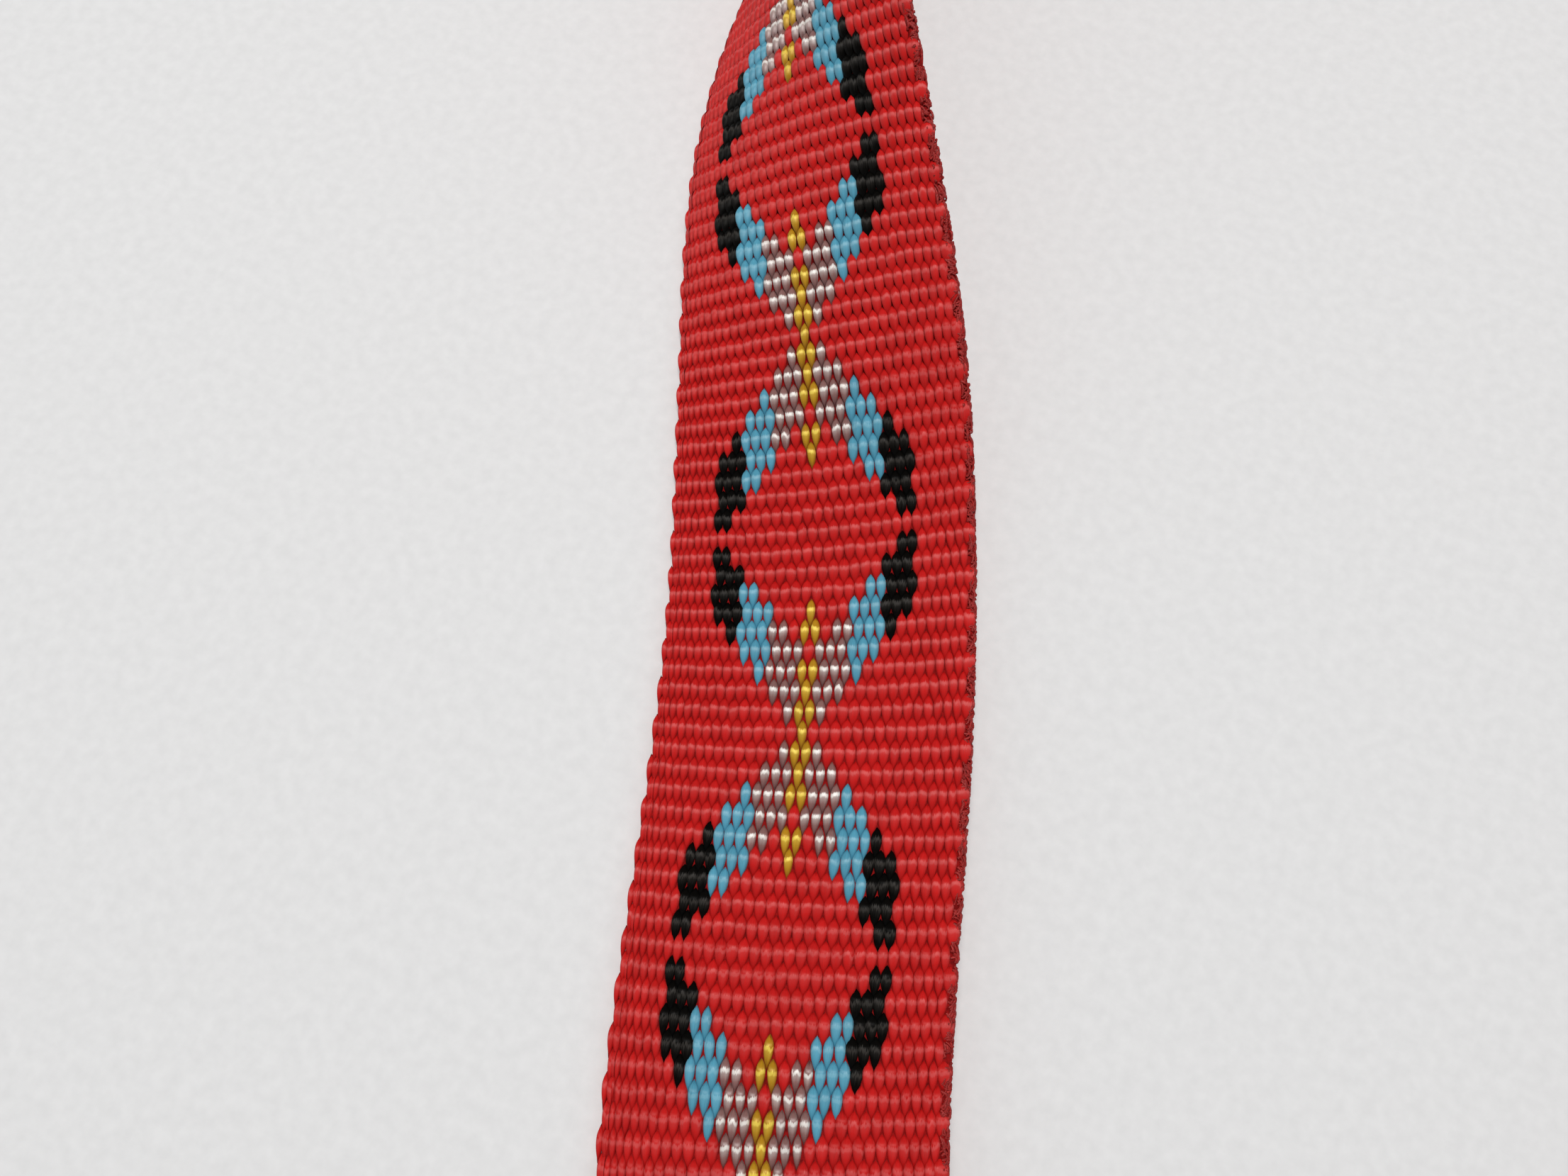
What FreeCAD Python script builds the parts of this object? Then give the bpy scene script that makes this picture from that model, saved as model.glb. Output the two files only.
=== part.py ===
import FreeCAD, Part
import math
import os

from FreeCAD import Placement, Rotation, Vector

# Saxophone neck strap: one length of patterned webbing sewn into a neck loop, a slider that sets its length,
# and a swivel snap hook. It lies on a table: +Z up, hook towards -Y, neck bend towards +Y.
# Millimetres and degrees. The origin is the bottom centre of the whole strap.

doc = FreeCAD.newDocument("saxophone_neck_strap")
sheet = doc.addObject("Spreadsheet::Sheet", "sizes")

SIZES = (
    ("overall_length", 560.0),
    ("webbing_width", 25.0),
    ("webbing_thickness", 1.5),
    # neck loop
    ("spread_angle", 24.0),
    ("flare_length", 120.0),
    ("bend_ramp_share", 0.44),
    ("leg_sway", 3.7),
    ("leg_sway_half_length", 54.0),
    ("leg_sway_from_top", 207.0),
    ("twist_length", 165.0),
    ("edge_stand_half", 118.0),
    ("lap_length", 26.0),
    ("lap_gap", 0.1),
    ("lap_stack_run", 90.0),
    ("lap_step_run", 45.0),
    ("station_step", 9.0),
    # straight strap under the lap
    ("slider_ramp", 24.0),
    ("slider_headroom", 4.0),
    ("return_length", 60.0),
    ("fold_length", 36.0),
    ("tail_length", 28.0),
    ("fold_drop_run", 9.0),
    ("slack_gap", 0.35),
    ("seam_width", 0.7),
    ("seam_height", 0.3),
    ("seam_inset", 3.0),
    # slider
    ("slider_length", 24.0),
    ("slider_rail_width", 2.6),
    ("slider_end_bar_width", 3.4),
    ("slider_end_bar_height", 1.6),
    ("slider_side_gap", 0.8),
    ("slider_web_gap", 0.3),
    ("slider_bar_radius", 1.5),
    ("slider_bar_gap", 0.12),
    ("slider_hump_radius", 3.4),
    ("slider_edge_round", 0.5),
    # swivel eye
    ("eye_bar_radius", 2.0),
    ("eye_side_gap", 1.2),
    ("eye_corner_radius", 4.0),
    ("eye_window_depth", 8.0),
    ("boss_length", 7.0),
    ("boss_round", 1.2),
    ("rivet_radius", 2.0),
    ("rivet_clearance", 0.06),
    ("rivet_head_radius", 3.4),
    ("rivet_head_height", 1.4),
    ("rivet_head_gap", 0.1),
    ("rivet_seat_depth", 6.0),
    ("washer_radius", 4.4),
    ("washer_thickness", 0.6),
    ("washer_space", 0.8),
    # hook and gate
    ("collar_radius", 4.8),
    ("collar_length", 2.4),
    ("hook_outer_radius", 10.5),
    ("hook_bar_width", 4.5),
    ("hook_straight", 20.0),
    ("hook_head_depth", 12.5),
    ("hook_thickness", 6.4),
    ("hook_round", 1.3),
    ("mouth_length", 9.5),
    ("mouth_top", 1.5),
    ("gate_thickness", 3.0),
    ("gate_side_gap", 0.2),
    ("gate_end_gap", 0.35),
    ("gate_bar_width", 3.6),
    ("gate_toe_length", 2.4),
    ("gate_toe_width", 1.9),
    ("gate_edge_round", 0.4),
    ("thumb_tab_reach", 3.4),
    ("thumb_tab_length", 6.5),
    ("pin_radius", 1.1),
    ("pin_clearance", 0.05),
    ("pin_inset", 2.9),
    ("pin_drop", 9.5),
    ("collar_root", 3.0),
    ("mouth_inset", 2.0),
    ("gate_root_radius", 2.7),
    ("gate_root_gap", 0.5),
    ("gate_slot_reach", 5.0),
    ("gate_cross_length", 2.6),
    ("thumb_tab_drop", 2.0),
    ("fused_overlap", 1.0),
    ("spring_wire", 0.5),
    ("spring_inner_radius", 1.25),
    ("spring_length", 1.3),
    ("spring_recess_gap", 0.12),
    ("spring_leg_reach", 3.4),
    ("spring_window", 4.0),
)

for row, (name, value) in enumerate(SIZES, start=1):
    sheet.set("A%d" % row, name)
    sheet.set("B%d" % row, str(value))
    sheet.setAlias("B%d" % row, name)
doc.recompute()

# The face's turn from flat to standing on its outer edge, as (share of twist_length, degrees).
TWIST_STATIONS = (
    (0.0, 0.0), (0.11, 6.0), (0.29, 7.0), (0.46, 8.0), (0.56, 23.0),
    (0.65, 37.0), (0.745, 54.0), (0.84, 69.5), (1.0, 90.0),
)
ARC_STEPS = 8           # straight pieces in each half turn of webbing round a bar
RAMP_STEPS = 6          # straight pieces where the strap rises into the slider
DROP_STEPS = 5          # straight pieces where the fold's tail comes down
PLAN_STEPS = 2000       # steps of the neck bend's shape, in radii
INTEGRATION_STEP = 0.5  # mm, along the neck loop's centre line
NEAR = 0.01             # mm, how close an edge lies to the place where it is looked for


def size(name):
    return float(sheet.get(name))


WIDTH = size("webbing_width")
THICKNESS = size("webbing_thickness")
HALF_WIDTH = WIDTH / 2
HALF_THICKNESS = THICKNESS / 2

# Expressions for places that several sub-parts share. y runs from the eye's bar, positive towards the neck.
HOOK_REACH = (
    "(sizes.eye_window_depth + sizes.boss_length + sizes.washer_space + sizes.collar_length"
    " + 2 * sizes.hook_outer_radius + sizes.hook_straight)"
)
EYE_Y = "(%s - sizes.overall_length / 2)" % HOOK_REACH
WEB_BOTTOM = "(sizes.slider_end_bar_height + sizes.slider_web_gap)"
EYE_Z = "(%s + sizes.webbing_thickness + sizes.slack_gap + sizes.eye_bar_radius)" % WEB_BOTTOM
SLIDER_Y = "(%s + sizes.return_length + sizes.fold_length)" % EYE_Y
SLIDER_BAR_Z = (
    "(%s + 2 * sizes.webbing_thickness + sizes.slider_web_gap"
    " + sizes.slider_bar_gap + sizes.slider_bar_radius)" % WEB_BOTTOM
)
BOSS_Y = "(%s - sizes.eye_window_depth - sizes.boss_length)" % EYE_Y
RIVET_END_Y = "(%s - sizes.washer_space - sizes.rivet_seat_depth)" % BOSS_Y
HOOK_TOP_Y = "(%s - sizes.washer_space - sizes.collar_length)" % BOSS_Y
HOOK_UPPER_Y = "(%s - sizes.hook_outer_radius)" % HOOK_TOP_Y
HOOK_LOWER_Y = "(%s - sizes.hook_straight)" % HOOK_UPPER_Y
HOOK_INNER = "(sizes.hook_outer_radius - sizes.hook_bar_width)"
THROAT_TOP_Y = "(%s - sizes.hook_head_depth)" % HOOK_TOP_Y
PIN_X = "(sizes.hook_outer_radius - sizes.pin_inset)"
PIN_Y = "(%s - sizes.pin_drop)" % HOOK_TOP_Y
MOUTH_TOP_Y = "(%s - sizes.mouth_top)" % THROAT_TOP_Y
MOUTH_BOTTOM_Y = "(%s - sizes.mouth_length)" % MOUTH_TOP_Y
SLIDER_INNER = "(sizes.webbing_width / 2 + sizes.slider_side_gap)"
EYE_INNER = "(sizes.webbing_width / 2 + sizes.eye_side_gap)"


def place(formula):
    """The number that a shared expression stands for, for the shapes that are computed here."""
    probe = doc.addObject("App::FeaturePython", "probe")
    probe.addProperty("App::PropertyFloat", "Value")
    probe.setExpression("Value", formula)
    doc.recompute()
    number = probe.Value
    doc.removeObject(probe.Name)
    return number


# ---------------------------------------------------------------- building helpers

ALONG_X = Rotation(Vector(0, 1, 0), 90)
ALONG_Y = Rotation(Vector(1, 0, 0), -90)
ALONG_Z = Rotation()


def primitive(kind, label, sizes, at, turn=ALONG_Z):
    """A Part primitive whose sizes and place are bound to the sheet."""
    item = doc.addObject("Part::" + kind, label)
    item.Placement = Placement(Vector(), turn)
    for prop, formula in sizes.items():
        item.setExpression(prop, formula)
    for axis, formula in zip("xyz", at):
        item.setExpression("Placement.Base." + axis, formula)
    return item


def box(label, lows, lengths):
    return primitive("Box", label, dict(zip(("Length", "Width", "Height"), lengths)), lows)


def rod(label, radius, length, at, turn):
    return primitive("Cylinder", label, {"Radius": radius, "Height": length}, at, turn)


def fuse(label, items):
    joined = doc.addObject("Part::MultiFuse", label)
    joined.Shapes = items
    joined.Refine = True
    return joined


def cut(label, base, tools):
    tool = tools[0] if len(tools) == 1 else fuse(label + "_tools", tools)
    result = doc.addObject("Part::Cut", label)
    result.Base = base
    result.Tool = tool
    return result


def round_edges(label, base, radius, wanted):
    """Rounds the edges of base that wanted() picks."""
    doc.recompute()
    chosen = [number for number, edge in enumerate(base.Shape.Edges, start=1) if wanted(edge)]
    result = doc.addObject("Part::Fillet", label)
    result.Base = base
    result.Edges = [(number, radius, radius) for number in chosen]
    return result


def ribbon(label, stations):
    """Webbing of rectangular section through stations of (centre, width direction, face direction)."""
    sections = []
    for centre, across, face in stations:
        side = across * HALF_WIDTH
        rise = face * HALF_THICKNESS
        corners = [centre - side - rise, centre + side - rise, centre + side + rise, centre - side + rise]
        sections.append(Part.makePolygon(corners + corners[:1]))
    item = doc.addObject("Part::Feature", label)
    item.Shape = Part.makeLoft(sections, True, True)
    item.Placement = Placement(Vector(), Rotation())
    return item


def flat_path(points):
    """Stations of a ribbon that runs in the YZ plane, its width along X, through points of (y, z)."""
    stations = []
    for index, (y, z) in enumerate(points):
        y_before, z_before = points[max(index - 1, 0)]
        y_after, z_after = points[min(index + 1, len(points) - 1)]
        along = Vector(0, y_after - y_before, z_after - z_before).normalize()
        across = Vector(1, 0, 0)
        stations.append((Vector(0, y, z), across, across.cross(along)))
    return stations


def half_turn(y, z, radius, start, sweep):
    """Points round a bar: angles in degrees in the YZ plane, 0 along +Y."""
    points = []
    for step in range(1, ARC_STEPS):
        angle = math.radians(start + sweep * step / ARC_STEPS)
        points.append((y + radius * math.cos(angle), z + radius * math.sin(angle)))
    return points


def ease(share):
    share = min(max(share, 0.0), 1.0)
    return share * share * (3 - 2 * share)


# ---------------------------------------------------------------- webbing

eye_y = place(EYE_Y)
eye_z = place(EYE_Z)
slider_y = place(SLIDER_Y)
slider_bar_z = place(SLIDER_BAR_Z)
web_z = place(WEB_BOTTOM) + HALF_THICKNESS
fold_start_y = slider_y - size("fold_length")
ramp_start_y = slider_y + size("slider_length") / 2 + size("slider_headroom")
lap_start_y = ramp_start_y + size("slider_ramp")
lap_end_y = lap_start_y + size("lap_length")


def twist_angle(share):
    """Degrees that the face has turned at this share of the twist, by a smooth curve through the stations."""
    if share <= 0:
        return 0.0
    if share >= 1:
        return TWIST_STATIONS[-1][1]
    slopes = []
    last = len(TWIST_STATIONS) - 1
    for index in range(last + 1):
        before = TWIST_STATIONS[max(index - 1, 0)]
        after = TWIST_STATIONS[min(index + 1, last)]
        slopes.append(0.0 if index in (0, last) else (after[1] - before[1]) / (after[0] - before[0]))
    index = max(number for number in range(last) if TWIST_STATIONS[number][0] <= share)
    (x0, y0), (x1, y1) = TWIST_STATIONS[index], TWIST_STATIONS[index + 1]
    span = x1 - x0
    p = (share - x0) / span
    rise = y1 - y0
    bend = (slopes[index] * span - rise) * (1 - p) + (rise - slopes[index + 1] * span) * p
    return y0 + rise * p + p * (1 - p) * bend


def neck_plan():
    """The neck loop's lengths: straight run, bend radius and the bend's half length in radii."""
    spread = math.radians(size("spread_angle"))
    ramp = size("bend_ramp_share")
    half_bend = (math.pi / 2 + spread) / (1 - ramp / 2)
    stride = half_bend / PLAN_STEPS
    x = y = 0.0
    heading = math.pi / 2
    for step in range(PLAN_STEPS):
        at = (step + 0.5) / PLAN_STEPS
        curvature = 1.0 if at < 1 - ramp else (1 - at) / ramp
        middle = heading - curvature * stride / 2
        x += math.sin(middle) * stride
        y += math.cos(middle) * stride
        heading -= curvature * stride
    flare_radius = size("flare_length") / spread
    flare_x = flare_radius * (1 - math.cos(spread))
    flare_y = flare_radius * math.sin(spread)
    room = size("overall_length") / 2 - HALF_THICKNESS - lap_end_y - flare_y
    # across: flare_x + run sin(spread) = radius x;   along: run cos(spread) + radius y = room
    run = (room * x - flare_x * y) / (math.cos(spread) * x + math.sin(spread) * y)
    radius = (flare_x + run * math.sin(spread)) / x
    return run, radius, half_bend


def sway(x, y, heading, away):
    """Moves a point of the left leg towards the inside, where the leg bows in a little below the twist."""
    share = (away - size("leg_sway_from_top")) / size("leg_sway_half_length")
    if abs(share) >= 1:
        return x, y, heading, away
    reach = size("leg_sway") * math.cos(math.pi * share / 2) ** 2
    steepest = math.pi * size("leg_sway") / (2 * size("leg_sway_half_length"))
    x += reach * math.cos(heading)
    y -= reach * math.sin(heading)
    return x, y, heading + math.atan(steepest * math.sin(math.pi * share)), away


def neck_line():
    """Centre line of the neck loop from the sewn end up the left leg, round the neck and down the right leg,
    as (x, y, heading, distance from the top of the bend, whether on the left leg)."""
    run, radius, half_bend = neck_plan()
    lap = size("lap_length")
    flare = size("flare_length")
    spread = math.radians(size("spread_angle"))
    ramp = size("bend_ramp_share")
    bend = half_bend * radius
    half = lap + flare + run + bend
    count = int(round(half / INTEGRATION_STEP))
    step = half / count
    points = [(0.0, lap_start_y, 0.0, half)]
    x, y, heading = 0.0, lap_start_y, 0.0
    for number in range(count):
        at = (number + 0.5) * step
        if at < lap:
            curvature = 0.0
        elif at < lap + flare:
            curvature = -spread / flare
        elif at < lap + flare + run:
            curvature = 0.0
        else:
            share = (half - at) / bend
            curvature = (1.0 if share < 1 - ramp else (1 - share) / ramp) / radius
        middle = heading + curvature * step / 2
        x += math.sin(middle) * step
        y += math.cos(middle) * step
        heading += curvature * step
        points.append((x, y, heading, half - (number + 1) * step))
    slip = points[-1][0]
    left = [sway(px - slip * (1 - away / half), py, ph, away) for px, py, ph, away in points]
    right = [(-px, py, math.pi - ph, away) for px, py, ph, away in reversed(left[:-1])]
    return left, right, half


def neck_stations():
    left, right, half = neck_line()
    stride = int(round(size("station_step") / INTEGRATION_STEP))
    chosen_left = sorted(set(range(0, len(left), stride)) | {len(left) - 1})
    mirror = [len(left) - 1 - index for index in chosen_left[:-1]]
    rows = [(left[index], True) for index in chosen_left]
    rows += [(right[index - 1], False) for index in sorted(mirror)]
    centres, rolls = [], []
    for (x, y, heading, away), on_left in rows:
        share = 1 - (away - size("edge_stand_half")) / size("twist_length")
        roll = math.radians(twist_angle(share))
        z = HALF_WIDTH * math.sin(roll) + HALF_THICKNESS * math.cos(roll)
        if on_left:
            above_lap = half - size("lap_length") - away
            lift = 1 - ease((above_lap - size("lap_stack_run")) / size("lap_step_run"))
            z += lift * (THICKNESS + size("lap_gap"))
        centres.append(Vector(x, y, z))
        rolls.append((roll, heading))
    stations = []
    for index, centre in enumerate(centres):
        before = centres[max(index - 1, 0)]
        after = centres[min(index + 1, len(centres) - 1)]
        roll, heading = rolls[index]
        along = (after - before).normalize()
        level = Vector(math.cos(heading), -math.sin(heading), 0)
        across = level * math.cos(roll) + Vector(0, 0, 1) * math.sin(roll)
        across = (across - along * across.dot(along)).normalize()
        stations.append((centre, across, across.cross(along)))
    # both ends are cut square and lie level
    for index in (0, -1):
        centre, across, face = stations[index]
        side = 1 if across.x > 0 else -1
        stations[index] = (centre, Vector(side, 0, 0), Vector(0, 0, 1))
    return stations


def make_webbing():
    neck = ribbon("neck_webbing", neck_stations())
    bight_radius = size("eye_bar_radius") + size("slack_gap") + HALF_THICKNESS
    fold_radius = size("slider_bar_radius") + size("slider_bar_gap") + HALF_THICKNESS
    fold_z = slider_bar_z - fold_radius
    ramp = []
    for step in range(RAMP_STEPS + 1):
        share = step / RAMP_STEPS
        y = lap_start_y - share * size("slider_ramp")
        ramp.append((y, HALF_THICKNESS + ease(share) * (web_z - HALF_THICKNESS)))
    lower_path = flat_path(ramp + [(eye_y, web_z)])
    lower_path[0] = (lower_path[0][0], Vector(1, 0, 0), Vector(0, 0, -1))
    lower_path[-1] = (lower_path[-1][0], Vector(1, 0, 0), Vector(0, 0, -1))
    lower = ribbon("lower_webbing", lower_path)
    bight_path = [(eye_y, eye_z - bight_radius)]
    bight_path += half_turn(eye_y, eye_z, bight_radius, -90, -180)
    bight_path += [(eye_y, eye_z + bight_radius)]
    bight_stations = flat_path(bight_path)
    bight_stations[0] = (bight_stations[0][0], Vector(1, 0, 0), Vector(0, 0, -1))
    bight_stations[-1] = (bight_stations[-1][0], Vector(1, 0, 0), Vector(0, 0, 1))
    bight = ribbon("hook_bight", bight_stations)
    returning = flat_path([(eye_y, eye_z + bight_radius), (fold_start_y, fold_z)])
    upright = Vector(0, 0, 1)
    returning = [(centre, Vector(1, 0, 0), upright) for centre, across, face in returning]
    back = ribbon("return_webbing", returning)
    tail_z = fold_z + THICKNESS + size("lap_gap")
    fold_path = [(fold_start_y, fold_z), (slider_y, fold_z)]
    fold_path += half_turn(slider_y, slider_bar_z, fold_radius, -90, 180)
    for step in range(DROP_STEPS + 1):
        share = step / DROP_STEPS
        y = slider_y - share * size("fold_drop_run")
        fold_path.append((y, slider_bar_z + fold_radius + ease(share) * (tail_z - slider_bar_z - fold_radius)))
    fold_path.append((slider_y - size("tail_length"), tail_z))
    fold_stations = flat_path(fold_path)
    fold_stations[0] = (fold_stations[0][0], Vector(1, 0, 0), upright)
    fold = ribbon("slider_fold", fold_stations)
    lap_top = 2 * THICKNESS + size("lap_gap")
    join_seam = seam("join_stitching", lap_start_y, lap_end_y, lap_top)
    tail_top = tail_z + HALF_THICKNESS
    tail_low = slider_y - size("tail_length")
    tail_seam = seam("tail_stitching", tail_low, slider_y - size("fold_drop_run"), tail_top)
    return [neck, lower, bight, back, fold, join_seam, tail_seam]


def seam(label, y_low, y_high, z_low):
    """A sewn box with a cross in it, as one raised line of thread on the face at z_low."""
    inset = size("seam_inset")
    thread = size("seam_width")
    height = size("seam_height")
    x = HALF_WIDTH - inset
    low, high = y_low + inset, y_high - inset
    corners = [Vector(-x, low, z_low), Vector(x, low, z_low), Vector(x, high, z_low), Vector(-x, high, z_low)]
    lines = [(corners[index], corners[(index + 1) % 4]) for index in range(4)]
    lines += [(corners[0], corners[2]), (corners[1], corners[3])]
    bars = []
    for start, end in lines:
        run = end - start
        bar = Part.makeBox(run.Length + thread, thread, height, Vector(-thread / 2, -thread / 2, 0))
        bar.Placement = Placement(start, Rotation(Vector(1, 0, 0), run))
        bars.append(bar)
    item = doc.addObject("Part::Feature", label)
    item.Shape = bars[0].fuse(bars[1:]).removeSplitter()
    item.Placement = Placement(Vector(), Rotation())
    return item


# ---------------------------------------------------------------- slider

def make_slider():
    """An arched three-bar slide: low end bars under the strap, a raised centre bar that carries the fold."""
    rail_low = "-%s - sizes.slider_rail_width" % SLIDER_INNER
    full_width = "2 * (%s + sizes.slider_rail_width)" % SLIDER_INNER
    end_low = "%s - sizes.slider_length / 2" % SLIDER_Y
    end_high = "%s + sizes.slider_length / 2 - sizes.slider_end_bar_width" % SLIDER_Y
    end_sizes = (full_width, "sizes.slider_end_bar_width", "sizes.slider_end_bar_height")
    pieces = [
        box("end_bar_low", (rail_low, end_low, "0"), end_sizes),
        box("end_bar_high", (rail_low, end_high, "0"), end_sizes),
    ]
    rail_height = "(%s - sizes.slider_hump_radius)" % SLIDER_BAR_Z
    for side, x_low in (("left", rail_low), ("right", SLIDER_INNER)):
        base = box(
            "rail_" + side,
            (x_low, end_low, "0"),
            ("sizes.slider_rail_width", "sizes.slider_length", rail_height),
        )
        hump = rod(
            "hump_" + side,
            "sizes.slider_hump_radius",
            "sizes.slider_rail_width",
            (x_low, SLIDER_Y, SLIDER_BAR_Z),
            ALONG_X,
        )
        web = box(
            "hump_web_" + side,
            (x_low, "%s - sizes.slider_hump_radius" % SLIDER_Y, "0"),
            ("sizes.slider_rail_width", "2 * sizes.slider_hump_radius", SLIDER_BAR_Z),
        )
        pieces += [base, hump, web]
    body = fuse("slider_frame_blank", pieces)
    bar_place = (rail_low, SLIDER_Y, SLIDER_BAR_Z)
    hole = rod("slider_bar_hole", "sizes.slider_bar_radius", full_width, bar_place, ALONG_X)
    drilled = cut("slider_frame_drilled", body, [hole])
    rail_top = place(rail_height)
    rim_x = place("%s + sizes.slider_rail_width" % SLIDER_INNER)
    hole_width = 2 * size("slider_bar_radius") + NEAR

    def outer_rim(edge):
        bounds = edge.BoundBox
        is_hole = bounds.YLength < hole_width and bounds.ZLength < hole_width
        outside = abs(abs(edge.CenterOfMass.x) - rim_x) < NEAR and bounds.XLength < NEAR
        return outside and edge.CenterOfMass.z > rail_top - NEAR and not is_hole

    frame = round_edges("slider_frame", drilled, size("slider_edge_round"), outer_rim)
    bar = rod("slider_bar", "sizes.slider_bar_radius", full_width, bar_place, ALONG_X)
    return [frame, bar]


# ---------------------------------------------------------------- swivel eye

def make_eye():
    """A rectangular loop of round bar with the swivel boss on its far side."""
    reach = "(%s + sizes.eye_bar_radius)" % EYE_INNER
    corner = "sizes.eye_corner_radius"
    corner_x = "(%s - %s)" % (reach, corner)
    far_y = "(%s - sizes.boss_length / 2)" % ("(%s - sizes.eye_window_depth)" % EYE_Y)
    near_corner_y = "(%s - %s)" % (EYE_Y, corner)
    far_corner_y = "(%s + %s)" % (far_y, corner)
    side_length = "%s - %s" % (near_corner_y, far_corner_y)
    pieces = []
    for name, y in (("near", EYE_Y), ("far", far_y)):
        start = ("-" + corner_x, y, EYE_Z)
        pieces.append(rod("eye_bar_" + name, "sizes.eye_bar_radius", "2 * " + corner_x, start, ALONG_X))
    for name, sign in (("left", "-"), ("right", "")):
        start = (sign + reach, far_corner_y, EYE_Z)
        pieces.append(rod("eye_side_" + name, "sizes.eye_bar_radius", side_length, start, ALONG_Y))
    quarter = 90
    turns = (("right", "near", 0), ("left", "near", 1), ("left", "far", 2), ("right", "far", 3))
    for side, end, turn in turns:
        x = corner_x if side == "right" else "-" + corner_x
        y = near_corner_y if end == "near" else far_corner_y
        bend = primitive(
            "Torus",
            "eye_corner_%s_%s" % (side, end),
            {"Radius1": corner, "Radius2": "sizes.eye_bar_radius"},
            (x, y, EYE_Z),
            Rotation(Vector(0, 0, 1), quarter * turn),
        )
        bend.Angle3 = quarter
        pieces.append(bend)
    boss_blank = rod("boss_blank", EYE_Z, "sizes.boss_length", ("0", BOSS_Y, EYE_Z), ALONG_Y)
    boss = round_edges("boss_rounded", boss_blank, size("boss_round"), lambda edge: edge.Closed)
    body = fuse("eye_blank", pieces + [boss])
    hole_radius = "sizes.rivet_radius + sizes.rivet_clearance"
    hole = rod("rivet_hole", hole_radius, "sizes.boss_length", ("0", BOSS_Y, EYE_Z), ALONG_Y)
    return cut("swivel_eye", body, [hole])


def make_swivel():
    """A rivet riveted into the hook, its head inside the eye, with a washer between the hook and the boss."""
    head_y = "(%s - sizes.eye_window_depth + sizes.rivet_head_gap)" % EYE_Y
    length = "%s - %s" % (head_y, RIVET_END_Y)
    shank = rod("rivet_shank", "sizes.rivet_radius", length, ("0", RIVET_END_Y, EYE_Z), ALONG_Y)
    head_place = ("0", head_y, EYE_Z)
    head = rod("rivet_head", "sizes.rivet_head_radius", "sizes.rivet_head_height", head_place, ALONG_Y)
    rivet = fuse("swivel_rivet", [shank, head])
    washer_y = "%s - sizes.washer_space + (sizes.washer_space - sizes.washer_thickness) / 4" % BOSS_Y
    washer_place = ("0", washer_y, EYE_Z)
    plate = rod("washer_disc", "sizes.washer_radius", "sizes.washer_thickness", washer_place, ALONG_Y)
    bore_radius = "sizes.rivet_radius + sizes.rivet_clearance"
    bore = rod("washer_bore", bore_radius, "sizes.washer_thickness", washer_place, ALONG_Y)
    return [rivet, cut("swivel_washer", plate, [bore])]


# ---------------------------------------------------------------- hook and gate

def slab(label, x_low, y_low, x_length, y_length, thickness):
    """A block of this thickness, centred on the hook's middle plane."""
    return box(label, (x_low, y_low, "%s - (%s) / 2" % (EYE_Z, thickness)), (x_length, y_length, thickness))


def disc(label, radius, x, y, thickness):
    return rod(label, radius, thickness, (x, y, "%s - (%s) / 2" % (EYE_Z, thickness)), ALONG_Z)


def flat_rim(thickness):
    """Picks the edges that lie in either face of a plate of this thickness on the hook's middle plane."""
    middle = place(EYE_Z)
    faces = (middle - thickness / 2, middle + thickness / 2)

    def wanted(edge):
        level = edge.BoundBox.ZLength < NEAR
        return level and min(abs(edge.CenterOfMass.z - face) for face in faces) < NEAR

    return wanted


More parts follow.
